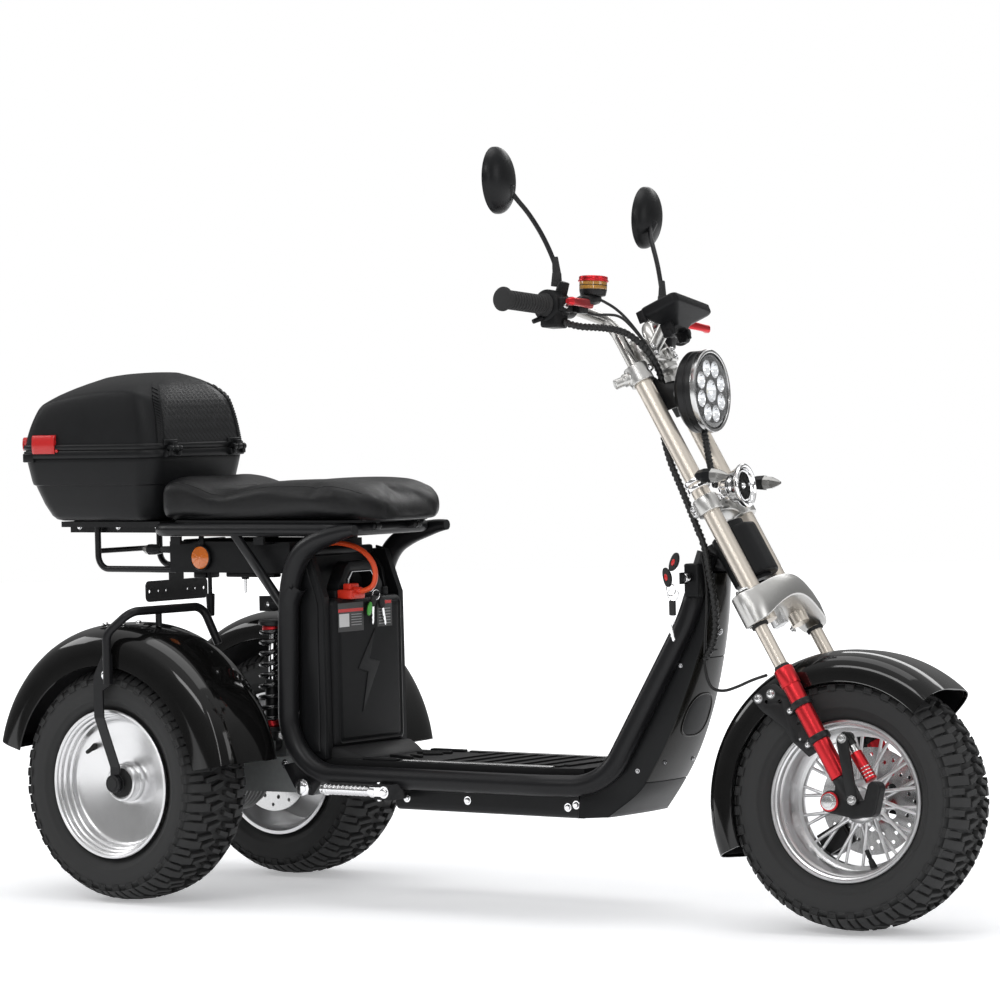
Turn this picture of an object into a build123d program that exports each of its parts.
"""Electric tricycle: one steered front wheel, two rear wheels, a low footboard and a top box.

Millimetres. +X points forward, +Y to the left, +Z up, and Z = 0 is the ground. X = 0 is the
middle of the overall length. The steering rests turned a little to the left, so every steered
piece is drawn in the fork's own frame and turned about the steering axis before it is written.
In the fork's frame X runs forward, square to the steering axis, Y to the left and Z up the axis.
"""

import os
from math import cos, radians, sin, tan

from build123d import *

# ---------------------------------------------------------------- driving dimensions
WHEELBASE = 1440.0
FRONT_AXLE_X = 812.0
TYRE_RADIUS = 220.0
TYRE_HALF_WIDTH = 82.0
RIM_LIP_RADIUS = 138.0
BEAD_RADIUS = 128.0
RIM_WALL = 5.0
FRONT_RIM_HALF = 64.0
REAR_RIM_HALF = 74.0
REAR_TRACK_HALF = 236.0

STEERING_RAKE = 31.46
STEERING_GROUND_X = 972.6
STEERING_REST = 9.82

FORK_OFFSET = 9.0
UPPER_TUBE_HALF = 66.0
UPPER_TUBE_RADIUS = 16.0
LOWER_LEG_HALF = 112.0
STANCHION_RADIUS = 10.5
LEG_RADIUS = 15.5

FRAME_HALF = 135.0
FRAME_TUBE_RADIUS = 19.0
DECK_TUBE_Z = 236.0
DECK_TOP_Z = 264.0
BELLY_Z = 177.0

RAIL_Z = 683.0
RAIL_RADIUS = 12.0
RAIL_REAR_X = -676.0
RAIL_FRONT_X = -196.0

BOX_REAR_X = -1006.0
BOX_FRONT_X = -648.0
BOX_HALF = 142.0
BOX_FLOOR_Z = 697.0
BOX_SEAM_Z = 834.0
BOX_TOP_Z = 978.0
BOX_WALL = 4.0

GAP = 0.3
RUNNING = 0.06
HANG_GAP = 6.0

# ---------------------------------------------------------------- derived places
REAR_AXLE_X = FRONT_AXLE_X - WHEELBASE
RAKE = radians(STEERING_RAKE)
FORK = Plane(
    origin=(STEERING_GROUND_X, 0, 0),
    x_dir=(cos(RAKE), 0, sin(RAKE)),
    z_dir=(-sin(RAKE), 0, cos(RAKE)),
)


def in_fork(x, z):
    """Turns a side-view point into distances (ahead of the axis, along the axis)."""
    reach = x - STEERING_GROUND_X
    return (reach * cos(RAKE) + z * sin(RAKE), z * cos(RAKE) - reach * sin(RAKE))


AXLE_T, AXLE_S = in_fork(FRONT_AXLE_X, TYRE_RADIUS)


def steered(piece):
    """Places a piece drawn in the fork's frame at the resting steering angle."""
    return FORK.location * (Rot(0, 0, STEERING_REST) * piece)


def level(piece):
    """Brings a piece drawn in the vehicle's frame, steering straight, into the fork's frame."""
    return FORK.location.inverse() * piece


def write(name, *pieces):
    """Writes one node, as the one solid or the separate solids given."""
    solids = []
    for piece in pieces:
        solids.extend(piece.solids())
    export_step(Compound(children=solids), f"parts/{name}.step")


def tube(points, radii, radius, bore=0.0):
    """A round tube along straight runs joined by tangent arcs."""
    if len(points) == 2:
        path = Wire([Edge.make_line(points[0], points[1])])
    else:
        path = FilletPolyline(*points, radius=radii).wire()
    section = Plane(origin=path @ 0, z_dir=path % 0)
    piece = sweep(section * Circle(radius), path=path)
    if bore:
        piece = piece - sweep(section * Circle(bore), path=path)
    return piece


def rod(start, end, radius):
    """A solid round bar between two points."""
    line = Vector(*end) - Vector(*start)
    place = Plane(origin=start, z_dir=line)
    return extrude(place * Circle(radius), amount=line.length)


def cross_rod(x, z, radius, y_from, y_to):
    """A solid round bar along Y."""
    return rod((x, y_from, z), (x, y_to, z), radius)


def block(x_from, x_to, y_from, y_to, z_from, z_to):
    """An upright box between two corners."""
    size = (x_to - x_from, y_to - y_from, z_to - z_from)
    place = Pos((x_from + x_to) / 2, (y_from + y_to) / 2, (z_from + z_to) / 2)
    return place * Box(*size)


def side_plate(points, y_from, y_to):
    """A flat plate with its outline in the X-Z plane, between two Y values."""
    outline = Plane.XZ.offset(-y_from) * make_face(Polyline(*points, close=True))
    return extrude(outline, amount=-(y_to - y_from))


def mirrored(piece):
    """The same piece on the other side of the vehicle's or the fork's middle plane."""
    return piece.mirror(Plane.XZ)


def ring(outer, inner, y_from, y_to):
    """A flat ring about the Y axis."""
    return cross_rod(0, 0, outer, y_from, y_to) - cross_rod(0, 0, inner, y_from - 1, y_to + 1)


# ---------------------------------------------------------------- wheels, about the Y axis
def tyre():
    """A balloon tyre: round sidewalls, square shoulders and a slightly crowned tread."""
    bead = BEAD_RADIUS + GAP
    shoulder_r = TYRE_RADIUS - 10
    shoulder_y = TYRE_HALF_WIDTH - 14
    foot_r = RIM_LIP_RADIUS + 4
    foot_y = FRONT_RIM_HALF - 2
    outline = [
        Line((bead, -foot_y + 8), (foot_r, -foot_y)),
        ThreePointArc((foot_r, -foot_y), (175, -TYRE_HALF_WIDTH), (shoulder_r - 6, -shoulder_y - 6)),
        Line((shoulder_r - 6, -shoulder_y - 6), (shoulder_r, -shoulder_y)),
        ThreePointArc((shoulder_r, -shoulder_y), (TYRE_RADIUS, 0), (shoulder_r, shoulder_y)),
        Line((shoulder_r, shoulder_y), (shoulder_r - 6, shoulder_y + 6)),
        ThreePointArc((shoulder_r - 6, shoulder_y + 6), (175, TYRE_HALF_WIDTH), (foot_r, foot_y)),
        Line((foot_r, foot_y), (bead, foot_y - 8)),
        Line((bead, foot_y - 8), (bead, -foot_y + 8)),
    ]
    return revolve(make_face(outline), axis=Axis.Y)


def rim_barrel(half):
    """A rim's barrel with a lip on each edge; the tyre's beads sit between the lips."""
    seat = FRONT_RIM_HALF - 2 - 8
    inner = BEAD_RADIUS - RIM_WALL
    points = [
        (BEAD_RADIUS, -seat),
        (BEAD_RADIUS, seat),
        (RIM_LIP_RADIUS - 6, half - 6),
        (RIM_LIP_RADIUS, half - 4),
        (RIM_LIP_RADIUS, half),
        (RIM_LIP_RADIUS - 5, half),
        (inner, half - 16),
        (inner, -half + 16),
        (RIM_LIP_RADIUS - 5, -half),
        (RIM_LIP_RADIUS, -half),
        (RIM_LIP_RADIUS, -half + 4),
        (RIM_LIP_RADIUS - 6, -half + 6),
    ]
    return revolve(make_face(Polyline(*points, close=True)), axis=Axis.Y)


SPOKE_PAIRS = 10
SPOKE_PLANE = 12.0
FRONT_AXLE_RADIUS = 8.0
FRONT_HUB_RADIUS = 30.0
FRONT_HUB_HALF = 46.0


def around(radius, degrees):
    """A point on a circle about the wheel's centre."""
    angle = radians(degrees)
    return (radius * cos(angle), radius * sin(angle))


def front_rim():
    """A deep polished rim with splayed spokes set towards the brake side."""
    inner = BEAD_RADIUS - RIM_WALL
    windows = []
    step = 360.0 / SPOKE_PAIRS
    for index in range(SPOKE_PAIRS):
        turn = step * index
        splay = [around(50, turn), around(inner - 13, turn - 12), around(inner - 13, turn + 12)]
        windows.append(make_face(Polyline(*splay, close=True)))
        turn += step / 2
        between = [
            around(FRONT_HUB_RADIUS + 8, turn - 6),
            around(FRONT_HUB_RADIUS + 8, turn + 6),
            around(inner - 13, turn + 2.2),
            around(inner - 13, turn - 2.2),
        ]
        windows.append(make_face(Polyline(*between, close=True)))
    web = Circle(inner + 1) - Circle(FRONT_HUB_RADIUS - 10) - windows
    web = Pos(0, SPOKE_PLANE + 5.5, 0) * Rot(90, 0, 0) * extrude(web, amount=11)
    hub = ring(FRONT_HUB_RADIUS - 4, FRONT_AXLE_RADIUS + RUNNING, -FRONT_HUB_HALF, FRONT_HUB_HALF)
    return rim_barrel(FRONT_RIM_HALF) + web + hub


DISC_RADIUS = 92.0
DISC_THICK = 5.0
DISC_Y = FRONT_HUB_HALF + GAP


def brake_disc(bore):
    """A brake disc with a ring of drilled holes, its near face at Y = 0."""
    disc = Circle(DISC_RADIUS) - Circle(bore)
    for index in range(12):
        disc -= Rot(0, 0, 30 * index) * Pos(DISC_RADIUS - 12, 0) * Circle(4)
        disc -= Rot(0, 0, 30 * index + 15) * Pos(DISC_RADIUS - 30, 0) * Circle(5)
    return Rot(-90, 0, 0) * extrude(disc, amount=DISC_THICK)


REAR_WEB_Y = 14.0
REAR_HUB_RADIUS = 35.0
REAR_HUB_OUT = 44.0
REAR_DISC_Y = 76.0
REAR_STUB_RADIUS = 11.0


def rear_rim():
    """A deep solid dish with stepped rings and a long hub, outer side towards -Y."""
    inner = BEAD_RADIUS - RIM_WALL
    bore = REAR_STUB_RADIUS + RUNNING
    points = [
        (bore, -REAR_HUB_OUT),
        (REAR_HUB_RADIUS - 3, -REAR_HUB_OUT),
        (REAR_HUB_RADIUS, -REAR_HUB_OUT + 3),
        (REAR_HUB_RADIUS, -REAR_WEB_Y - 4),
        (82, -REAR_WEB_Y - 4),
        (82, -REAR_WEB_Y - 9),
        (100, -REAR_WEB_Y - 9),
        (100, -REAR_WEB_Y - 16),
        (inner + 1, -REAR_WEB_Y - 16),
        (inner + 1, -REAR_WEB_Y - 4),
        (104, -REAR_WEB_Y - 4),
        (104, -REAR_WEB_Y + 3),
        (REAR_HUB_RADIUS, -REAR_WEB_Y + 3),
        (REAR_HUB_RADIUS - 6, REAR_DISC_Y + DISC_THICK),
        (bore, REAR_DISC_Y + DISC_THICK),
    ]
    web = revolve(make_face(Polyline(*points, close=True)), axis=Axis.Y)
    disc = Pos(0, REAR_DISC_Y, 0) * brake_disc(REAR_HUB_RADIUS - 10)
    return rim_barrel(REAR_RIM_HALF) + web + disc


REAR_TUBE_END = REAR_TRACK_HALF - REAR_DISC_Y - DISC_THICK - 0.5


def rear_caliper(side):
    """A silver caliper over the edge of one rear disc, with its arm from the axle tube."""
    middle = side * (REAR_TRACK_HALF - REAR_DISC_Y - DISC_THICK / 2)
    x, z = REAR_AXLE_X - 54, TYRE_RADIUS + 66
    body = block(x - 22, x + 22, middle - 17, middle + 17, z - 20, z + 20)
    slot = cross_rod(REAR_AXLE_X, TYRE_RADIUS, DISC_RADIUS + 4, middle - 7.5, middle + 7.5)
    near = middle - side * 8
    far = middle - side * 17
    pair = Sketch() + [Pos(x, z) * Circle(16), Pos(REAR_AXLE_X, TYRE_RADIUS) * Circle(30)]
    arm = extrude(Plane.XZ.offset(-near) * make_hull(pair.edges()), amount=near - far)
    return body - slot + arm


# ---------------------------------------------------------------- frame
SHOCK_TOP = (-406.0, 545.0)
SHOCK_FOOT = (-418.0, 284.0)
SHOCK_Y = 92.0
PIVOT_X = -300.0
PIVOT_Z = 213.0
PIVOT_RADIUS = 9.0
LOOP_BACK_X = -343.0
SEAT_HINGE_X = -184.0
SEAT_HINGE_Z = RAIL_Z + RAIL_RADIUS - 7.0
SEAT_PIN_RADIUS = 4.0
HINGE_HALF = 60.0
HEAD_RADIUS = 26.0
STEM_RADIUS = 12.0
HEAD_BORE = STEM_RADIUS + RUNNING
HEAD_BOTTOM = 690.0
HEAD_TOP = 806.0


def loop_points(side):
    """The bends of one frame loop, from under the seat, along the deck and up to the head."""
    return [
        (-212, side * FRAME_HALF, RAIL_Z - 14),
        (-332, side * FRAME_HALF, 566),
        (LOOP_BACK_X, side * FRAME_HALF, DECK_TUBE_Z),
        (235, side * FRAME_HALF, DECK_TUBE_Z),
        (352, side * 107, DECK_TUBE_Z),
        (489, side * 41, 523),
        (522, side * 22, 640),
    ]


def frame_loop(side):
    """One side's bent tube."""
    return tube(loop_points(side), [70, 110, 190, 95, 300], FRAME_TUBE_RADIUS)


def head_in_place(piece):
    """Places a piece of the head tube, drawn along the steering axis, on the frame."""
    return FORK.location * piece


def head_tube():
    """The bored tube that carries the steering stem."""
    body = Pos(0, 0, (HEAD_BOTTOM + HEAD_TOP) / 2) * Cylinder(HEAD_RADIUS, HEAD_TOP - HEAD_BOTTOM)
    bore = Pos(0, 0, (HEAD_BOTTOM + HEAD_TOP) / 2) * Cylinder(HEAD_BORE, HEAD_TOP)
    return head_in_place(body), head_in_place(bore)


def seat_rail():
    """The closed tube that the seat sits on, with its diagonal struts."""
    corner = 45.0
    middle = (RAIL_REAR_X + RAIL_FRONT_X) / 2
    outline = RectangleRounded(RAIL_FRONT_X - RAIL_REAR_X - 2 * RAIL_RADIUS, 2 * FRAME_HALF, corner)
    path = Pos(middle, 0, RAIL_Z) * outline.face().outer_wire()
    rail = sweep(Plane(origin=path @ 0, z_dir=path % 0) * Circle(RAIL_RADIUS), path=path)
    for side in (-1, 1):
        foot = (LOOP_BACK_X + 8, side * FRAME_HALF, 530)
        rail += rod((-462, side * FRAME_HALF, RAIL_Z - 4), foot, 9)
    return rail


def gusset(extra=0.0):
    """The plate that joins the loops' upper ends to the head tube."""
    outline = [(505, 609), (512, 650), (560, 672), (598, 612), (560, 609)]
    return side_plate(outline, -14 - extra, 14 + extra)


def seat_hinge_ears():
    """Two pairs of ears ahead of the rail, with the pins that the seat turns on."""
    ears = []
    for side in (-1, 1):
        middle = side * HINGE_HALF
        for offset in (-8, 8):
            near = middle + offset - 2
            far = middle + offset + 2
            ear = block(RAIL_FRONT_X - 8, SEAT_HINGE_X, near, far, SEAT_HINGE_Z - 8, SEAT_HINGE_Z + 6)
            ears.append(ear + cross_rod(SEAT_HINGE_X, SEAT_HINGE_Z, 6, near, far))
        ears.append(cross_rod(SEAT_HINGE_X, SEAT_HINGE_Z, SEAT_PIN_RADIUS, middle - 8, middle + 8))
    return ears


def frame():
    """Both loops, the head tube, the seat rail, cross tubes and lugs, welded into one."""
    head, bore = head_tube()
    welded = frame_loop(-1) + frame_loop(1) + seat_rail() + head + gusset()
    inside = FRAME_HALF - 6
    for x, z in ((LOOP_BACK_X, 548), (LOOP_BACK_X + 2, 330), (-150, DECK_TUBE_Z - 4), (200, DECK_TUBE_Z - 4)):
        welded += cross_rod(x, z, 13, -inside, inside)
    for side in (-1, 1):
        outer = side * (FRAME_HALF + 4)
        inner = side * (FRAME_HALF - 4)
        lug = [(-352, 252), (-318, 200), (-284, 198), (-262, 222), (-246, 236), (-300, 262)]
        welded += side_plate(lug, min(outer, inner), max(outer, inner))
        tab = [(-424, 560), (-424, 532), (-390, 532), (-333, 548), (-333, 562)]
        for offset in (-17, 17):
            ear = side * SHOCK_Y + offset
            welded += side_plate(tab, ear - 2, ear + 2)
        welded += peg_bracket(side)
    for piece in seat_hinge_ears():
        welded += piece
    welded -= cross_rod(PIVOT_X, PIVOT_Z, PIVOT_RADIUS + GAP, -200, 200)
    welded -= cross_rod(*SHOCK_TOP, 5 + GAP, -200, 200)
    return welded - bore


# ---------------------------------------------------------------- rear end
SWING_HALF = 108.0


def swingarm():
    """Two box-section arms from the pivot to the axle, joined by a cross tube."""
    arms = cross_rod(PIVOT_X, PIVOT_Z, 17, -SWING_HALF, SWING_HALF)
    for side in (-1, 1):
        outline = [
            (PIVOT_X + 20, PIVOT_Z - 14),
            (PIVOT_X + 20, PIVOT_Z + 10),
            (-348, 262),
            (-512, 262),
            (REAR_AXLE_X - 34, 246),
            (REAR_AXLE_X - 34, 200),
            (-520, 196),
        ]
        inner = side * (SWING_HALF - 28)
        outer = side * SWING_HALF
        arms += side_plate(outline, min(inner, outer), max(inner, outer))
        for offset in (-17, 17):
            ear = side * SHOCK_Y + offset
            eye = [(-440, 258), (-440, 292), (-396, 292), (-396, 258)]
            arms += side_plate(eye, ear - 2, ear + 2)
    arms -= cross_rod(PIVOT_X, PIVOT_Z, PIVOT_RADIUS + GAP, -200, 200)
    arms -= cross_rod(*SHOCK_FOOT, 5 + GAP, -200, 200)
    return arms - cross_rod(REAR_AXLE_X, TYRE_RADIUS, 24 + GAP, -200, 200)


def pivot_bolt():
    """The bolt through both lugs and the swingarm, with a washer and a nut at each end."""
    end = FRAME_HALF + 4 + GAP
    bolt = cross_rod(PIVOT_X, PIVOT_Z, PIVOT_RADIUS, -end - 8, end + 8)
    for side in (-1, 1):
        near = side * end
        far = side * (end + 7)
        bolt += cross_rod(PIVOT_X, PIVOT_Z, 15, min(near, far), max(near, far))
    return bolt


def rear_axle():
    """The axle tube with its motor block, the calipers and the stubs that carry the wheels."""
    axle = cross_rod(REAR_AXLE_X, TYRE_RADIUS, 24, -REAR_TUBE_END, REAR_TUBE_END)
    motor = cross_rod(REAR_AXLE_X, TYRE_RADIUS, 74, -72, 72)
    axle += chamfer(motor.edges().filter_by(GeomType.CIRCLE), 8)
    stub_end = REAR_TRACK_HALF + REAR_HUB_OUT + 22
    axle += cross_rod(REAR_AXLE_X, TYRE_RADIUS, REAR_STUB_RADIUS, -stub_end, stub_end)
    for side in (-1, 1):
        axle += rear_caliper(side)
    return axle


def shock(side):
    """One coil shock: body, spring sleeve and an eye at each end."""
    top = (SHOCK_TOP[0], side * SHOCK_Y, SHOCK_TOP[1])
    foot = (SHOCK_FOOT[0], side * SHOCK_Y, SHOCK_FOOT[1])
    line = Vector(*top) - Vector(*foot)
    place = Plane(origin=foot, z_dir=line)
    length = line.length
    body = extrude(place.offset(16) * Circle(9), amount=length - 32)
    body += extrude(place.offset(34) * Circle(26), amount=length - 68)
    for x, z in (SHOCK_TOP, SHOCK_FOOT):
        body += cross_rod(x, z, 14, side * SHOCK_Y - 14, side * SHOCK_Y + 14)
    eye = 5 + GAP
    body += extrude(place.offset(8) * Circle(9), amount=length - 16)
    for x, z in (SHOCK_TOP, SHOCK_FOOT):
        body -= cross_rod(x, z, eye, side * SHOCK_Y - 40, side * SHOCK_Y + 40)
    return body


def shock_bolts(side):
    """The two bolts that hold one shock."""
    bolts = []
    for x, z in (SHOCK_TOP, SHOCK_FOOT):
        bolt = cross_rod(x, z, 5, side * SHOCK_Y - 24, side * SHOCK_Y + 24)
        bolt += cross_rod(x, z, 9, side * SHOCK_Y - 25, side * SHOCK_Y - 19 - GAP)
        bolt += cross_rod(x, z, 9, side * SHOCK_Y + 19 + GAP, side * SHOCK_Y + 25)
        bolts.append(bolt)
    return bolts


FENDER_CROWN = 295.0
FENDER_WALL = 3.0


def fender_section(crown, outer_edge, inner_edge, outer_y, middle_y, inner_y):
    """The closed outline of a domed fender's wall: radius along X, width along Y."""
    wall = FENDER_WALL
    outside = Spline((outer_edge, outer_y), (crown, middle_y), (inner_edge, inner_y), tangents=((3, 1), (-2, 1)))
    inside = Spline(
        (outer_edge, outer_y + wall),
        (crown - wall, middle_y),
        (inner_edge, inner_y - wall),
        tangents=((3, 1), (-2, 1)),
    )
    ends = [
        Line((outer_edge, outer_y), (outer_edge, outer_y + wall)),
        Line((inner_edge, inner_y), (inner_edge, inner_y - wall)),
    ]
    return make_face([outside, ends[1], inside, ends[0]])


def rear_fender():
    """The right fender: a domed shell over the upper half of the wheel."""
    outer_y = -REAR_TRACK_HALF - 88
    inner_y = -REAR_TRACK_HALF + 90
    outline = fender_section(FENDER_CROWN, 226, 250, outer_y, -REAR_TRACK_HALF, inner_y)
    shell = revolve(outline, axis=Axis.Y, revolution_arc=-156)
    shell = Rot(0, -9, 0) * shell
    return Pos(REAR_AXLE_X, 0, TYRE_RADIUS) * shell


def fender_brace(side):
    """The bent tube over one fender, with its flat strut down to the axle's end."""
    y_out = REAR_TRACK_HALF + 99
    y_in = REAR_TRACK_HALF - 118
    x = REAR_AXLE_X
    points = [
        (x + 108, side * y_in, 470),
        (x + 76, side * (y_in + 6), 540),
        (x + 66, side * (y_out - 22), 540),
        (x + 25, side * y_out, 500),
        (x + 25, side * y_out, 408),
    ]
    brace = tube(points, [24, 30, 30], 8)
    face = y_out - 8
    strut = [(12, 462), (33, 462), (33, 408), (10, 395), (10, 345), (-12, 345), (-12, 420)]
    strut = [(x + ahead, z) for ahead, z in strut]
    near = side * (face + 2)
    far = side * (face + 6)
    brace += side_plate(strut, min(near, far), max(near, far))
    eye_y = REAR_TRACK_HALF + REAR_HUB_OUT + 9
    slope = [
        (side * (face + 2), 352),
        (side * (face + 6), 352),
        (side * (face + 6), 346),
        (side * (eye_y + 4), 250),
        (side * (eye_y + 4), 214),
        (side * eye_y, 214),
        (side * eye_y, 250),
        (side * (face + 2), 346),
    ]
    bar = Plane(origin=(x - 12, 0, 0), x_dir=(0, 1, 0), z_dir=(1, 0, 0)) * make_face(Polyline(*slope, close=True))
    brace += extrude(bar, amount=22)
    near = side * eye_y
    far = side * (eye_y + 4)
    brace += cross_rod(REAR_AXLE_X, TYRE_RADIUS, 19, min(near, far), max(near, far))
    brace += rod((x + 66, side * REAR_TRACK_HALF, 536), (x + 66, side * REAR_TRACK_HALF, 509.3), 6)
    return brace - cross_rod(REAR_AXLE_X, TYRE_RADIUS, REAR_STUB_RADIUS + GAP, -400, 400)


def axle_nut(side):
    """The nut on the end of one rear stub, outside the brace's eye."""
    near = side * (REAR_TRACK_HALF + REAR_HUB_OUT + 13 + GAP)
    far = near + side * 8
    body = cross_rod(REAR_AXLE_X, TYRE_RADIUS, 16, min(near, far), max(near, far))
    return body - cross_rod(REAR_AXLE_X, TYRE_RADIUS, REAR_STUB_RADIUS + GAP, -400, 400)


# ---------------------------------------------------------------- body
def footboard():
    """The ribbed board between the loops."""
    rear = LOOP_BACK_X + 40
    outline = [(rear, -112), (225, -112), (298, -92), (298, 92), (225, 112), (rear, 112)]
    low = DECK_TUBE_Z + 10
    board = extrude(Plane.XY.offset(low) * make_face(Polyline(*outline, close=True)), amount=DECK_TOP_Z - low)
    for index in range(7):
        x = -40 + 44 * index
        board += block(x, x + 16, -88, 88, DECK_TOP_Z, DECK_TOP_Z + 3)
    return board


def belly_pan():
    """The pan below the board, up to the cross tubes."""
    pan = block(-110, 300, -112, 112, BELLY_Z, DECK_TUBE_Z - 17 - GAP)
    return fillet(pan.edges().filter_by(Axis.X).sort_by(Axis.Z)[:2], 14)


SHIELD_SECTIONS = [
    (180, 302, 124, 345, 92),
    (224, 302, 112, 395, 66),
    (268, 330, 90, 427, 62),
    (314, 366, 78, 453, 58),
    (375, 402, 64, 480, 52),
    (445, 436, 50, 505, 43),
    (523, 466, 33, 527, 32),
    (606, 480, 24, 540, 24),
]


def shield_wire(z, rear_x, rear_half, front_x, front_half):
    """One level outline of the leg shield, wide behind and narrow in front."""
    points = [
        (rear_x, -rear_half, z),
        (front_x, -front_half, z),
        (front_x + 8, 0, z),
        (front_x, front_half, z),
        (rear_x, rear_half, z),
    ]
    return Face(Wire.make_polygon(points, close=True))


def loop_cutters(extra):
    """Both loops made a little thicker, for the grooves that the covers leave for them."""
    return [tube(loop_points(side), [70, 110, 190, 95, 300], FRAME_TUBE_RADIUS + extra) for side in (-1, 1)]


def leg_shield():
    """The cover that fills between the loops from the deck up to the neck."""
    faces = [shield_wire(*section) for section in SHIELD_SECTIONS]
    shield = Solid.make_loft([face.outer_wire() for face in faces], ruled=True)
    for cutter in loop_cutters(GAP):
        shield = shield - cutter
    return max(shield.solids(), key=lambda solid: solid.volume)


def neck_cover():
    """The cover round the head tube, cut out for it, the loops and the plate between them."""
    outline = extrude(Pos(1, 0, HEAD_BOTTOM + 6) * RectangleRounded(78, 76, 30), amount=96)
    body = head_in_place(outline)
    clear = head_in_place(Pos(0, 0, 740) * Cylinder(HEAD_RADIUS + GAP, 400))
    for cutter in [clear, gusset(GAP)] + loop_cutters(GAP):
        body = body - cutter
    return max(body.solids(), key=lambda solid: solid.volume)


def battery_case():
    """The lift-out battery: a flat suitcase with a rounded face and a handle on top."""
    case = block(-318, -252, -102, 102, DECK_TOP_Z + 16 + GAP, 556)
    case = fillet(case.edges().filter_by(Axis.X), 14)
    handle = block(-300, -272, -62, 62, 556, 622)
    handle = chamfer(handle.edges().filter_by(Axis.X).sort_by(Axis.Z)[-2:], 24)
    handle -= block(-301, -271, -38, 38, 570, 604)
    connector = block(-268, -240, -61, -39, 555, 580)
    return case + handle + connector


def battery_housing():
    """The shell behind, below and beside the battery, between the loops and up to the seat."""
    floor = DECK_TOP_Z + GAP
    shell = block(-326, -262, -110, 110, floor, floor + 15.4)
    shell += block(-326, -318 - GAP, -104, 104, floor, 535)
    for side in (-1, 1):
        near = side * (102 + GAP)
        far = side * (FRAME_HALF - FRAME_TUBE_RADIUS - GAP)
        panel = [(-326, floor), (-262, floor), (-264, 560), (-296, 640), (-326, 640)]
        shell += side_plate(panel, min(near, far), max(near, far))
    return shell


UNDER_BOX = (-646.0, -352.0, 106.0, 602.0, 660.0)


def under_seat_box():
    """The open tray below the seat, its flange and straps hung on the rail."""
    x0, x1, half, z0, z1 = UNDER_BOX
    tray = block(x0, x1, -half, half, z0, z1) - block(x0 + 3, x1 - 3, -half + 3, half - 3, z0 + 3, z1 + 1)
    hook = RAIL_Z - RAIL_RADIUS - GAP
    for side in (-1, 1):
        for x in (x0 + 30, x1 - 60):
            near = side * (half - 2)
            far = side * (FRAME_HALF + 3)
            tray += block(x, x + 24, min(near, far), max(near, far), z1 - 4, z1)
            near = side * (FRAME_HALF - 3)
            tray += block(x, x + 24, min(near, far), max(near, far), z1 - 4, hook)
    return tray


SEAT_PAN = 5.0
SEAT_BASE_Z = RAIL_Z + RAIL_RADIUS + SEAT_PAN + 2 * GAP
SEAT_REAR_X = -650.5
SEAT_FRONT_X = -138.0
SEAT_HALF = 140.0


def seat():
    """The long double cushion on its base, as one closed solid."""
    profile = [
        Line((SEAT_REAR_X, SEAT_BASE_Z), (SEAT_FRONT_X - 10, SEAT_BASE_Z)),
        Spline(
            (SEAT_FRONT_X - 10, SEAT_BASE_Z),
            (SEAT_FRONT_X, 722),
            (-170, 758),
            (-300, 776),
            (-410, 772),
            (-505, 758),
            (-590, 780),
            (-635, 784),
        ),
        Line((-635, 784), (-641, 774)),
        Line((-641, 774), (SEAT_REAR_X, SEAT_BASE_Z)),
    ]
    side = extrude(Plane.XZ * make_face(profile), amount=SEAT_HALF, both=True)
    length = SEAT_FRONT_X - SEAT_REAR_X
    middle = (SEAT_FRONT_X + SEAT_REAR_X) / 2
    plan = Pos(middle, 0, SEAT_BASE_Z - 1) * extrude(RectangleRounded(length, 2 * SEAT_HALF, 92), amount=120)
    return side & plan


def seat_base():
    """The pan under the cushion, on the rail, with the knuckles it hinges on at the front."""
    low = RAIL_Z + RAIL_RADIUS + GAP
    rear = RAIL_REAR_X + 22
    front = RAIL_FRONT_X + 24
    plan = RectangleRounded(front - rear, 2 * FRAME_HALF - 10, 80)
    pan = Pos((front + rear) / 2, 0, low) * extrude(plan, amount=SEAT_PAN)
    bore = SEAT_PIN_RADIUS + 0.05
    for side in (-1, 1):
        middle = side * HINGE_HALF
        knuckle = cross_rod(SEAT_HINGE_X, SEAT_HINGE_Z, 7, middle - 5, middle + 5)
        knuckle += block(SEAT_HINGE_X - 5, SEAT_HINGE_X + 5, middle - 5, middle + 5, SEAT_HINGE_Z, low + 1)
        pan += knuckle - cross_rod(SEAT_HINGE_X, SEAT_HINGE_Z, bore, middle - 20, middle + 20)
    return pan


def rear_rack():
    """The carrier behind the seat with the hoop below it."""
    front = RAIL_REAR_X - GAP
    plate = block(-930, front - 1, -98, 98, RAIL_Z + 3, BOX_FLOOR_Z - GAP)
    for side in (-1, 1):
        plate += block(-925, front, side * 70 - 8, side * 70 + 8, RAIL_Z - 8, RAIL_Z + 6)
        hoop = [(-845, side * 88, RAIL_Z + 6), (-845, side * 88, 606), (UNDER_BOX[0] - GAP, side * 88, 606)]
        plate += tube(hoop, [26], 6)
    return plate + cross_rod(-845, 640, 5, -88, 88)


PLATE_X = -727.0
PLATE_HOLE_HALF = 78.0
PLATE_HOLE_RADIUS = 3.5


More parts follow.
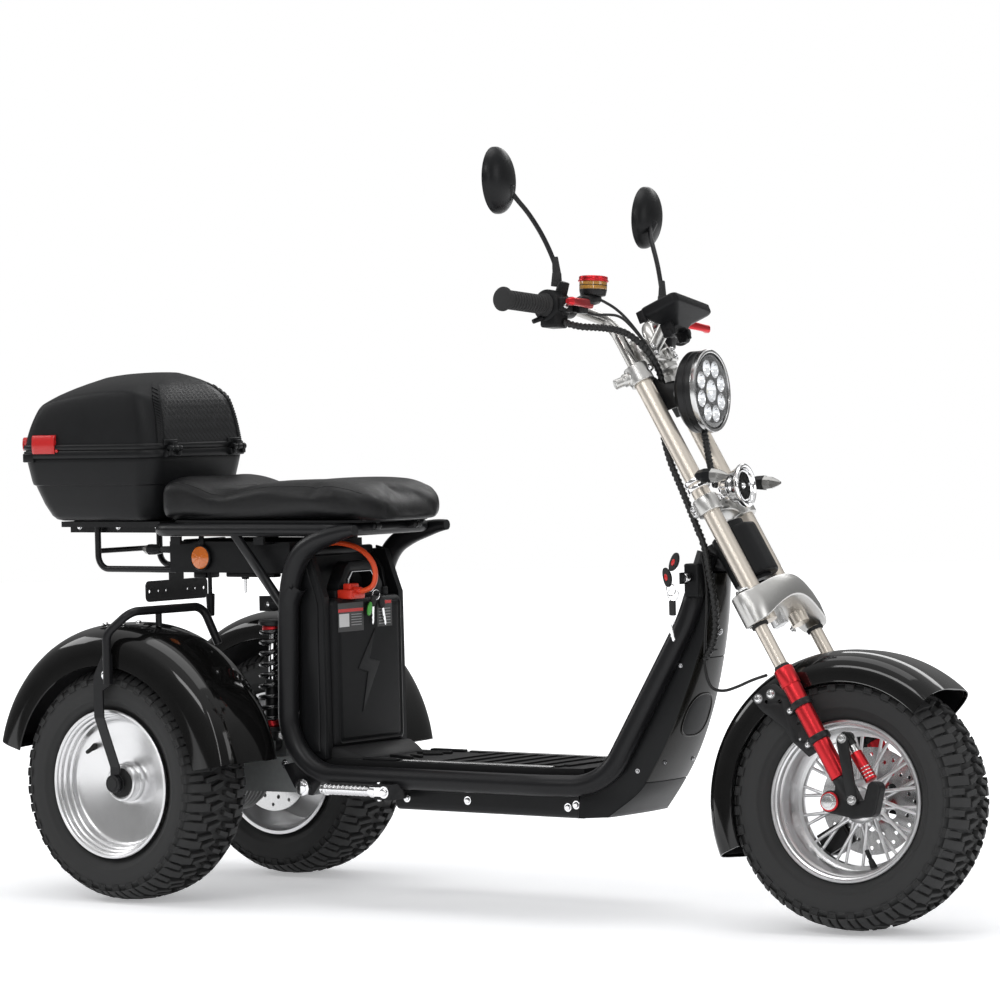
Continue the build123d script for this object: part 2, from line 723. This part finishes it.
def plate_bracket():
    """The drilled bar for a number plate, hung from the hoop."""
    place = Plane(origin=(PLATE_X, 0, 563), x_dir=(0, 1, 0), z_dir=(1, 0, 0))
    bar = RectangleRounded(176, 40, 10)
    for side in (-1, 1):
        bar -= Pos(side * PLATE_HOLE_HALF, 0) * Circle(PLATE_HOLE_RADIUS)
        bar -= Pos(side * 53, 0) * Circle(2.6)
        bar -= Pos(side * 31, 0) * Circle(2.6)
    bar += Pos(0, 31) * Rectangle(40, 40)
    bracket = extrude(place * bar, amount=3)
    return bracket + block(PLATE_X, UNDER_BOX[0] - GAP, -20, 20, 610, 613)


def rear_lights():
    """Two bullet signals, the tail lamp and the round reflectors, all on the tray."""
    lights = []
    x0, x1, half, z0, z1 = UNDER_BOX
    back = x0 - GAP
    for side in (-1, 1):
        bullet = Pos(-700, side * 92, 644) * Rot(0, 90, 0) * Cylinder(11, 52)
        bullet = fillet(bullet.edges().filter_by(GeomType.CIRCLE), 7)
        bullet += rod((-680, side * 92, 644), (back, side * 92, 644), 5)
        lights.append(bullet)
        near = side * (half + GAP)
        far = side * (half + 8)
        lights.append(cross_rod(-565, 630, 23, min(near, far), max(near, far)))
    lens = block(back - 16, back, -52, 52, 622, 656)
    lights.append(fillet(lens.edges().filter_by(Axis.X), 8))
    return lights


# ---------------------------------------------------------------- top box
def box_level(x0, x1, half, z, corner):
    """One level outline of the top box, with rounded corners."""
    return Pos((x0 + x1) / 2, 0, z) * RectangleRounded(x1 - x0, 2 * half, corner)


def box_shell(levels, wall, closed_at_top):
    """A tapered shell through the levels given, open on its seam side."""
    outer = loft([box_level(*entry) for entry in levels], ruled=True)
    inner_levels = []
    for index, (x0, x1, half, z, corner) in enumerate(levels):
        last = index == len(levels) - 1
        first = index == 0
        height = z
        if closed_at_top:
            height = z - wall if last else (z - 1 if first else z)
        else:
            height = z + wall if first else (z + 1 if last else z)
        inner_levels.append((x0 + wall, x1 - wall, half - wall, height, corner - wall))
    inner = loft([box_level(*entry) for entry in inner_levels], ruled=True)
    return outer - inner


HINGE_X = BOX_FRONT_X + 9.0
HINGE_Z = BOX_SEAM_Z + 1.0
HINGE_PIN_RADIUS = 2.5
SEAM_GAP = 1.0


def top_box_base():
    """The lower half of the top box, with its halves of the lid's hinges."""
    levels = [
        (-957, -676, 114, BOX_FLOOR_Z, 36),
        (-990, -656, 134, 765, 40),
        (BOX_REAR_X, BOX_FRONT_X, BOX_HALF, BOX_SEAM_Z - SEAM_GAP, 42),
    ]
    base = box_shell(levels, BOX_WALL, closed_at_top=False)
    for side in (-1, 1):
        middle = side * 92
        knuckle = cross_rod(HINGE_X, HINGE_Z, 6, middle - 22, middle - 8)
        knuckle += cross_rod(HINGE_X, HINGE_Z, 6, middle + 8, middle + 22)
        knuckle += block(BOX_FRONT_X - 3, HINGE_X, middle - 22, middle - 8, HINGE_Z - 22, HINGE_Z - 2)
        knuckle += block(BOX_FRONT_X - 3, HINGE_X, middle + 8, middle + 22, HINGE_Z - 22, HINGE_Z - 2)
        base += knuckle + cross_rod(HINGE_X, HINGE_Z, HINGE_PIN_RADIUS, middle - 10, middle + 10)
    return base


LID_LEVELS = [
    (BOX_REAR_X, BOX_FRONT_X, BOX_HALF, BOX_SEAM_Z + SEAM_GAP, 42),
    (-1002, -653, 138, 872, 45),
    (-990, -662, 130, 906, 50),
    (-972, -677, 118, 936, 56),
    (-950, -696, 104, 962, 60),
    (-930, -716, 88, BOX_TOP_Z, 62),
]


def top_box_lid():
    """The domed upper half of the top box, with its halves of the hinges."""
    lid = box_shell(LID_LEVELS, BOX_WALL, closed_at_top=True)
    for side in (-1, 1):
        middle = side * 92
        knuckle = cross_rod(HINGE_X, HINGE_Z, 6, middle - 7, middle + 7)
        knuckle += block(BOX_FRONT_X - 4, HINGE_X, middle - 7, middle + 7, HINGE_Z + 2, HINGE_Z + 14)
        lid += knuckle - cross_rod(HINGE_X, HINGE_Z, HINGE_PIN_RADIUS + 0.05, middle - 30, middle + 30)
    return lid


def box_latch():
    """The red reflector wrapped round the lid's rear corners, above the lock."""
    outer = extrude(box_level(BOX_REAR_X - 3, BOX_FRONT_X, BOX_HALF + 3, BOX_SEAM_Z + 8, 45), amount=26)
    grown = [(x0 - GAP, x1, half + GAP, z, corner) for x0, x1, half, z, corner in LID_LEVELS]
    lid = loft([box_level(*entry) for entry in grown], ruled=True)
    band = outer - lid - block(-915, BOX_FRONT_X + 10, -200, 200, 800, 900)
    return max(band.solids(), key=lambda solid: solid.volume)


# ---------------------------------------------------------------- footpegs
PEG_X = -108.0
PEG_Y = FRAME_HALF + 27.0
PEG_Z = 214.0


def peg_bracket(side):
    """The fork-ended lug below a loop that holds one folding footpeg."""
    low = PEG_Z - 14
    near = side * (FRAME_HALF - 8)
    far = side * (PEG_Y + 8)
    lug = block(PEG_X - 6, PEG_X + 34, min(near, far), max(near, far), low, low + 5)
    high = PEG_Z + 9
    near = side * (PEG_Y - 8)
    lug += block(PEG_X - 6, PEG_X + 34, min(near, far), max(near, far), high, high + 5)
    near = side * (FRAME_HALF - 8)
    lug += block(PEG_X + 26, PEG_X + 34, min(near, far), max(near, far), low, high + 5)
    return lug - rod((PEG_X, side * PEG_Y, PEG_Z - 30), (PEG_X, side * PEG_Y, PEG_Z + 30), 4)


def footpeg(side):
    """One passenger footpeg, folded back along the deck."""
    y = side * PEG_Y
    peg = block(PEG_X - 16, PEG_X + 10, y - 8, y + 8, PEG_Z - 8, PEG_Z + 8)
    peg += rod((PEG_X - 15, y, PEG_Z), (PEG_X - 132, y, PEG_Z), 9)
    peg += rod((PEG_X, y, PEG_Z - 17), (PEG_X, y, PEG_Z + 17), 3.95)
    return peg


# ---------------------------------------------------------------- fork, in its own frame
LOWER_CLAMP_S = (598.0, 662.0)
MIDDLE_CLAMP_S = (824.0, 850.0)
BAR_CLAMP_S = (1086.0, 1120.0)


def fork_tube(y, radius, s_from, s_to, t=FORK_OFFSET):
    """A round piece parallel to the steering axis."""
    return rod((t, y, s_from), (t, y, s_to), radius)


def upper_tubes():
    """The two long champagne tubes from the lower clamp to the handlebar."""
    return [fork_tube(side * UPPER_TUBE_HALF, UPPER_TUBE_RADIUS, LOWER_CLAMP_S[0] + 8, 1098) for side in (-1, 1)]


def plan_plate(circles, s_from, s_to):
    """A plate square to the steering axis: round lobes joined by straight webs."""
    outline = None
    for (t0, y0, r0), (t1, y1, r1) in circles:
        pair = Sketch() + [Pos(t0, y0) * Circle(r0), Pos(t1, y1) * Circle(r1)]
        hull = make_hull(pair.edges())
        outline = hull if outline is None else outline + hull
    return extrude(Plane.XY.offset(s_from) * outline, amount=s_to - s_from)


def lower_clamp():
    """The arched crown that holds the upper tubes and the wider-set legs."""
    low, high = LOWER_CLAMP_S
    web = [((FORK_OFFSET, -UPPER_TUBE_HALF, 26), (30, 0, 26)), ((30, 0, 26), (FORK_OFFSET, UPPER_TUBE_HALF, 26))]
    clamp = plan_plate(web, low + 22, high + 8)
    for side in (-1, 1):
        lobe = [((FORK_OFFSET, side * UPPER_TUBE_HALF, 24), (FORK_OFFSET, side * LOWER_LEG_HALF, 24))]
        clamp += plan_plate(lobe, low, high)
    clamp += plan_plate([((0, 0, 24), (30, 0, 24))], low + 22, high + 8)
    for side in (-1, 1):
        upper = fork_tube(side * UPPER_TUBE_HALF, UPPER_TUBE_RADIUS + GAP, LOWER_CLAMP_S[0] + 8 - GAP, 1200)
        lower = fork_tube(side * LOWER_LEG_HALF, STANCHION_RADIUS + GAP, 400, high - 6)
        clamp = clamp - upper - lower
    return clamp - fork_tube(0, STEM_RADIUS + GAP, 500, 900, t=0)


def steering_stem():
    """The stem through the head tube, with the nut above it."""
    stem = fork_tube(0, STEM_RADIUS, LOWER_CLAMP_S[0] + 26, MIDDLE_CLAMP_S[1] + 6, t=0)
    nut = fork_tube(0, 17, MIDDLE_CLAMP_S[1] + GAP, MIDDLE_CLAMP_S[1] + 14, t=0)
    return stem + nut


def middle_clamp():
    """The flat clamp above the head tube, with a round lobe at each tube."""
    low, high = MIDDLE_CLAMP_S
    webs = [
        ((FORK_OFFSET, -UPPER_TUBE_HALF, 12), (2, 0, 22)),
        ((2, 0, 22), (FORK_OFFSET, UPPER_TUBE_HALF, 12)),
    ]
    clamp = plan_plate(webs, low + 3, high - 3)
    for side in (-1, 1):
        clamp += fork_tube(side * UPPER_TUBE_HALF, UPPER_TUBE_RADIUS + 6, low, high)
    for side in (-1, 1):
        clamp -= fork_tube(side * UPPER_TUBE_HALF, UPPER_TUBE_RADIUS + GAP, low - 5, high + 5)
    return clamp - fork_tube(0, STEM_RADIUS + GAP, low - 5, high + 5, t=0)


def fork_legs():
    """The bright stanchions with the red lower legs on them."""
    legs = []
    for side in (-1, 1):
        leg = fork_tube(side * LOWER_LEG_HALF, STANCHION_RADIUS, 500, LOWER_CLAMP_S[1] - 6 - GAP)
        leg += fork_tube(side * LOWER_LEG_HALF, LEG_RADIUS, 300, 510)
        legs.append(leg)
    return legs


CASTING_HALF = 13.0


def fork_castings():
    """The black castings below the legs, carrying the axle and the small dampers."""
    pieces = []
    for side in (-1, 1):
        middle = side * LOWER_LEG_HALF
        arms = [
            ((FORK_OFFSET, 280, 15), (FORK_OFFSET - 2, 240, 16)),
            ((AXLE_T, AXLE_S, 19), (FORK_OFFSET - 2, 240, 15)),
            ((FORK_OFFSET - 2, 240, 15), (32, 226, 13)),
            ((32, 226, 13), (57, 252, 12)),
        ]
        outline = None
        for (t0, s0, r0), (t1, s1, r1) in arms:
            pair = Sketch() + [Pos(t0, s0) * Circle(r0), Pos(t1, s1) * Circle(r1)]
            hull = make_hull(pair.edges())
            outline = hull if outline is None else outline + hull
        casting = extrude(Plane.XZ.offset(-middle) * outline, amount=CASTING_HALF, both=True)
        casting += fork_tube(middle, LEG_RADIUS - 0.5, 262, 300 - GAP)
        casting -= cross_rod(AXLE_T, AXLE_S, FRONT_AXLE_RADIUS + GAP, -200, 200)
        pieces.append(casting)
    return pieces


def fork_dampers():
    """The small red dampers ahead of the legs, with their link straps."""
    pieces = []
    for side in (-1, 1):
        middle = side * LOWER_LEG_HALF
        foot = (57, middle, 264.9)
        top = (53, middle, 350)
        damper = rod(foot, top, 9) + cross_rod(53, 352, 8, middle - 11, middle + 11)
        outer = middle + side * (LEG_RADIUS + GAP)
        pair = Sketch() + [Pos(51, 346) * Circle(9), Pos(17, 252) * Circle(8)]
        strap = extrude(Plane.XZ.offset(-outer) * make_hull(pair.edges()), amount=-side * 6)
        damper += strap + cross_rod(53, 352, 5, min(middle, outer), max(middle, outer))
        pieces.append(damper)
    return pieces


def front_axle():
    """The bolt through both castings and the front hub, with its spacers and nuts."""
    reach = LOWER_LEG_HALF + CASTING_HALF
    axle = cross_rod(AXLE_T, AXLE_S, FRONT_AXLE_RADIUS, -reach - 12, reach + 12)
    for side in (-1, 1):
        near = side * (reach + GAP)
        far = side * (reach + 9)
        axle += cross_rod(AXLE_T, AXLE_S, 15, min(near, far), max(near, far))
        near = side * (DISC_Y + DISC_THICK + 1)
        far = side * (LOWER_LEG_HALF - CASTING_HALF - GAP)
        axle += cross_rod(AXLE_T, AXLE_S, 14, min(near, far), max(near, far))
    return axle


def fender_brackets():
    """The bands round each leg and the plates that carry the front fender."""
    pieces = []
    for side in (-1, 1):
        middle = side * LOWER_LEG_HALF
        band = fork_tube(middle, LEG_RADIUS + 4, 370, 382) + fork_tube(middle, LEG_RADIUS + 4, 436, 448)
        near = side * 92.4
        far = side * 96
        plate = [(-2, 366), (-2, 452), (-30, 500), (-70, 497), (-46, 400), (-30, 364)]
        band += side_plate(plate, min(near, far), max(near, far))
        band -= fork_tube(middle, LEG_RADIUS + GAP, 200, 600)
        pieces.append(band)
    return pieces


FRONT_FENDER_CROWN = 257.0


def front_fender():
    """The front fender: a domed shell, longer behind the wheel than in front."""
    half = 92
    outline = fender_section(FRONT_FENDER_CROWN, 230, 230, -half, 0, half)
    shell = revolve(outline, axis=Axis.Y, revolution_arc=-154)
    shell = Pos(FRONT_AXLE_X, 0, TYRE_RADIUS) * Rot(0, -50, 0) * shell
    return level(shell)


def front_caliper():
    """The red caliper over the disc, bolted to the left casting."""
    low = in_fork(FRONT_AXLE_X - 62, TYRE_RADIUS - 66)
    face = LOWER_LEG_HALF - CASTING_HALF - GAP
    body = block(low[0] - 26, low[0] + 26, DISC_Y - 16, face - 12, low[1] - 20, low[1] + 20)
    slot = block(low[0] - 20, low[0] + 30, DISC_Y - 5, DISC_Y + DISC_THICK + 5, low[1] - 30, low[1] + 30)
    pair = Sketch() + [Pos(low[0], low[1]) * Circle(14), Pos(AXLE_T, AXLE_S) * Circle(18)]
    arm = extrude(Plane.XZ.offset(-face + 14) * make_hull(pair.edges()), amount=-14)
    caliper = body - slot + arm
    return caliper - cross_rod(AXLE_T, AXLE_S, 14 + GAP, -200, 200)


BAR_RADIUS = 11.0
BAR_KNEE = (322.0, 150.0, 1054.0)
BAR_END = (281.0, 338.0, 1055.0)


def on_fork(point, side=1):
    """A point given in the vehicle's frame, steering straight, as a point in the fork's frame."""
    t, s = in_fork(point[0], point[2])
    return (t, side * point[1], s)


def along_bar(distance, side):
    """The point on the bar's straight end this far inboard of its tip."""
    tip = Vector(*on_fork(BAR_END, side))
    knee = Vector(*on_fork(BAR_KNEE, side))
    spot = tip + (knee - tip).normalized() * distance
    return (spot.X, spot.Y, spot.Z)


def on_bar(near, far, radius, side):
    """A round piece on the bar between two distances from its tip, with room for the bar."""
    piece = rod(along_bar(near, side), along_bar(far, side), radius)
    inner = max(near - 20, -GAP)
    return piece - rod(along_bar(inner, side), along_bar(far + 20, side), BAR_RADIUS + GAP)


def handlebar():
    """The bright bar: two risers that go on from the fork tubes and sweep out to the grips."""
    bar = cross_rod(FORK_OFFSET, 1150, 9, -UPPER_TUBE_HALF, UPPER_TUBE_HALF)
    for side in (-1, 1):
        points = [
            (FORK_OFFSET, side * UPPER_TUBE_HALF, 1098 + GAP),
            (FORK_OFFSET, side * UPPER_TUBE_HALF, 1212),
            on_fork(BAR_KNEE, side),
            on_fork(BAR_END, side),
        ]
        bar += tube(points, [42, 60], BAR_RADIUS)
    return bar


def bar_clamps():
    """The clamps that join the bar to the fork tubes, each with a stepped stub behind."""
    clamps = []
    low, high = BAR_CLAMP_S
    for side in (-1, 1):
        y = side * UPPER_TUBE_HALF
        clamp = fork_tube(y, UPPER_TUBE_RADIUS + 6, low, high)
        middle = (low + high) / 2
        clamp += rod((FORK_OFFSET, y, middle), (FORK_OFFSET - 23, y + side * 19, middle), 12)
        clamp += rod((FORK_OFFSET - 22, y + side * 18, middle), (FORK_OFFSET - 37, y + side * 30, middle), 9)
        clamp -= fork_tube(y, UPPER_TUBE_RADIUS + GAP, low - 5, 1098 + GAP / 2)
        clamp -= fork_tube(y, BAR_RADIUS + GAP, 1098, high + 5)
        clamps.append(clamp)
    return clamps


def grips():
    """The rubber grips, closed at the tip, with a flange there."""
    pieces = []
    for side in (-1, 1):
        grip = rod(along_bar(-6, side), along_bar(108, side), 16)
        grip += rod(along_bar(-6, side), along_bar(4, side), 21)
        pieces.append(grip - rod(along_bar(-GAP, side), along_bar(128, side), BAR_RADIUS + GAP))
    return pieces


def control_housings():
    """The switch and throttle housings inboard of the grips, with the mirrors' bosses."""
    pieces = []
    for side in (-1, 1):
        housing = on_bar(108 + GAP, 150, 28, side)
        foot = Vector(*along_bar(138, side))
        housing += rod(foot, foot + Vector(22, 0, 34), 10)
        pieces.append(housing - rod(along_bar(90, side), along_bar(160, side), BAR_RADIUS + GAP))
    return pieces


def mirrors():
    """The two mirrors: a domed oval head on a bent stalk."""
    pieces = []
    for side in (-1, 1):
        foot = Vector(*along_bar(138, side)) + Vector(22.4, 0, 34.6)
        points = [
            tuple(foot),
            tuple(foot + Vector(14, 0, 26)),
            on_fork((262, 242, 1226), side),
            on_fork((250, 268, 1250), side),
        ]
        stalk = tube(points, [30, 40], 4.5)
        head = scale(Sphere(50), by=(0.5, 0.96, 1.16)) & Pos(50, 0, 0) * Box(100, 200, 200)
        head = Pos(232, side * 282, 1266) * Rot(-side * 14, 0, 0) * head
        pieces.append(stalk + level(head))
    return pieces


def brake_levers():
    """The red levers on perches clamped to the bar; the right one carries the fluid reservoir."""
    pieces = []
    for side in (-1, 1):
        pivot = on_fork((356, 168, 1060), side)
        tip = on_fork((372, 262, 1056), side)
        piece = on_bar(154, 178, 18, side) + rod(along_bar(166, side), pivot, 8)
        piece += rod(pivot, tip, 6) + Pos(*tip) * Sphere(8) + Pos(*pivot) * Sphere(10)
        if side < 0:
            piece += level(Pos(352, -146, 1094) * Cylinder(25, 34))
            piece += rod(on_fork((350, -148, 1082)), on_fork((322, -170, 1060)), 7)
        pieces.append(piece - rod(along_bar(140, side), along_bar(200, side), BAR_RADIUS + GAP))
    return pieces


def display():
    """The display: a shallow slanted box with rounded edges."""
    box = fillet(Box(96, 122, 30).edges(), 7)
    return level(Pos(432, 0, 1062) * Rot(0, 24, 0) * box)


def display_mount():
    """The bright two-lobed clamp on the cross bar and the bracket up to the display."""
    mount = plan_plate([((20, -37, 13), (20, 37, 13))], 1126, 1158)
    for side in (-1, 1):
        mount += fork_tube(side * 37, 14, 1122, 1164, t=22)
    mount -= cross_rod(FORK_OFFSET, 1150, 9 + GAP, -100, 100)
    post = rod((30, 0, 1150), on_fork((431, 0, 1059)), 12)
    return mount + (post - display())


def headlight():
    """The drum headlight with its arms and the bands that hold it to the fork tubes."""
    tilt = 3.5
    drum = Pos(-19, 0, 0) * Rot(0, 90, 0) * Cylinder(72, 38)
    back = Pos(-46, 0, 0) * Rot(0, 90, 0) * Cone(40, 71, 16)
    body = level(Pos(515, 0, 922) * Rot(0, -tilt, 0) * (drum + back))
    for side in (-1, 1):
        y = side * UPPER_TUBE_HALF
        body += fork_tube(y, UPPER_TUBE_RADIUS + 4, 1044, 1058)
        near = side * 36
        far = side * (UPPER_TUBE_HALF - 10)
        body += block(2, 58, min(near, side * 41), max(near, side * 41), 1040, 1062)
        body += block(2, 16, min(near, far), max(near, far), 1044, 1058)
        body -= fork_tube(y, UPPER_TUBE_RADIUS + GAP, 1000, 1100)
    return body


def horn():
    """The chrome horn on a strap from the middle clamp."""
    shell = Pos(-14, 0, 0) * Rot(0, 90, 0) * Cone(24, 38.5, 28)
    rim = Pos(2, 0, 0) * Rot(0, 90, 0) * Cylinder(38.5, 6)
    boss = Pos(-34, 0, 0) * Rot(0, 90, 0) * Cylinder(15, 16)
    body = level(Pos(581, 0, 757) * Rot(0, -6.6, 0) * (shell + rim + boss))
    foot = plan_plate([((14, 0, 9), (26, 0, 9))], MIDDLE_CLAMP_S[1] - 3 + GAP, MIDDLE_CLAMP_S[1] + 6)
    return body + foot - fork_tube(0, 17 + GAP, 600, 1000, t=0)


def front_signals():
    """The bullet signals on bands round the fork tubes."""
    pieces = []
    for side in (-1, 1):
        y = side * UPPER_TUBE_HALF
        signal = fork_tube(y, UPPER_TUBE_RADIUS + 4, 872, 884)
        bullet = Pos(568, side * 106, 768) * Rot(0, 90, 0) * Cylinder(11, 62)
        signal += level(fillet(bullet.edges().filter_by(GeomType.CIRCLE), 7))
        root = (FORK_OFFSET + 8, side * (UPPER_TUBE_HALF + 15), 878)
        signal += rod(root, on_fork((552, 106, 768), side), 5)
        pieces.append(signal - fork_tube(y, UPPER_TUBE_RADIUS + GAP, 800, 1000))
    return pieces


# ---------------------------------------------------------------- cables
def corner_radii(points):
    """The largest even arc at each bend, and prints them."""
    radii = []
    for before, here, after in zip(points, points[1:], points[2:]):
        first = Vector(*here) - Vector(*before)
        second = Vector(*after) - Vector(*here)
        turn = radians(first.get_angle(second))
        radii.append(0.45 * min(first.length, second.length) / tan(turn / 2))
    print("radii", [round(radius, 1) for radius in radii])
    return radii


def cable(points, radius):
    """A cable along its own route."""
    return tube(points, corner_radii(points), radius)


LOOM_RADIUS = 6.5
STEERING_LOOM = [
    (-12, -211, 1211),
    (0, -200, 1194),
    (26, -165, 1180),
    (42, -120, 1168),
    (46, -84, 1145),
    (44, -58, 1112),
    (30, -30, 1085),
    (4, -22, 1050),
    (-18, -26, 1005),
    (-28, -34, 950),
    (-30, -40, 890),
    (-37, -47, 802),
]
NECK_LOOM = [
    (529.95, -52.65, 668.97),
    (541, -54.8, 648),
    (553, -66, 612),
    (562, -66, 570),
    (560, -56, 525),
    (545, -42, 484),
    (517, -30, 458),
]


def ignition_lock():
    """The lock box beside the neck, with its key."""
    box = fillet(block(496, 526, -60, -39, 566, 624).edges(), 4)
    body = box + rod((510, -59, 600), (510, -72, 600), 7) + block(508, 512, -90, -71, 590, 610)
    for cutter in loop_cutters(GAP):
        body = body - cutter
    return max(body.solids(), key=lambda solid: solid.volume)


LEAD_RADIUS = 5.0
POWER_LEAD = [
    (-350.2, -50, 645),
    (-318, -49, 655),
    (-272, -50, 657),
    (-226, -51, 646),
    (-196, -50, 618),
    (-196, -49, 584),
    (-214, -50, 569),
    (-239.7, -50, 567),
]

os.makedirs("parts", exist_ok=True)

# ---------------------------------------------------------------- chassis
write("frame", frame())
write("footboard", footboard())
write("belly_pan", belly_pan())
write("leg_shield", leg_shield())
write("neck_cover", neck_cover())
write("battery_case", battery_case())
write("battery_housing", battery_housing())
write("under_seat_box", under_seat_box())
write("rear_rack", rear_rack())
write("plate_bracket", plate_bracket())
write("rear_lights", *rear_lights())
write("swingarm", swingarm())
write("pivot_bolt", pivot_bolt())
write("rear_axle", rear_axle())
write("rear_shocks", shock(-1), shock(1), *shock_bolts(-1), *shock_bolts(1))
write("right_rear_fender", rear_fender())
write("left_rear_fender", mirrored(rear_fender()))
write("fender_braces", fender_brace(-1), fender_brace(1), axle_nut(-1), axle_nut(1))
write("top_box_base", top_box_base())
write("ignition_lock", ignition_lock())
write("neck_loom", cable(NECK_LOOM, LOOM_RADIUS))
write("power_lead", cable(POWER_LEAD, LEAD_RADIUS))

# ---------------------------------------------------------------- lids, seat and pegs
write("top_box_lid", top_box_lid())
write("box_latch", box_latch())
write("seat", seat())
write("seat_base", seat_base())
write("right_footpeg", footpeg(-1))
write("left_footpeg", footpeg(1))

# ---------------------------------------------------------------- rear wheels
rear_place = Pos(REAR_AXLE_X, -REAR_TRACK_HALF, TYRE_RADIUS)
write("right_rear_tyre", rear_place * tyre())
write("right_rear_rim", rear_place * rear_rim())
write("left_rear_tyre", mirrored(rear_place * tyre()))
write("left_rear_rim", mirrored(rear_place * rear_rim()))

# ---------------------------------------------------------------- front wheel
front_place = Pos(AXLE_T, 0, AXLE_S)
write("front_tyre", steered(front_place * tyre()))
front_disc = Pos(0, DISC_Y, 0) * brake_disc(FRONT_AXLE_RADIUS + 1 + GAP)
write("front_rim", steered(front_place * front_rim()), steered(front_place * front_disc))

# ---------------------------------------------------------------- steering
write("upper_tubes", *[steered(piece) for piece in upper_tubes()])
write("lower_clamp", steered(lower_clamp()), steered(steering_stem()))
write("middle_clamp", steered(middle_clamp()))
write("fork_legs", *[steered(piece) for piece in fork_legs()])
write("fork_castings", *[steered(piece) for piece in fork_castings()])
write("fork_dampers", *[steered(piece) for piece in fork_dampers()])
write("front_axle", steered(front_axle()))
write("front_fender", steered(front_fender()), *[steered(piece) for piece in fender_brackets()])
write("front_caliper", steered(front_caliper()))
write("handlebar", steered(handlebar()))
write("bar_clamps", *[steered(piece) for piece in bar_clamps() + [display_mount()]])
write("grips", *[steered(piece) for piece in grips()])
write("control_housings", *[steered(piece) for piece in control_housings()])
write("mirrors", *[steered(piece) for piece in mirrors()])
write("brake_levers", *[steered(piece) for piece in brake_levers()])
write("display", steered(display()))
write("headlight", steered(headlight()))
write("horn", steered(horn()))
write("front_signals", *[steered(piece) for piece in front_signals()])
write("steering_loom", steered(cable(STEERING_LOOM, LOOM_RADIUS)))
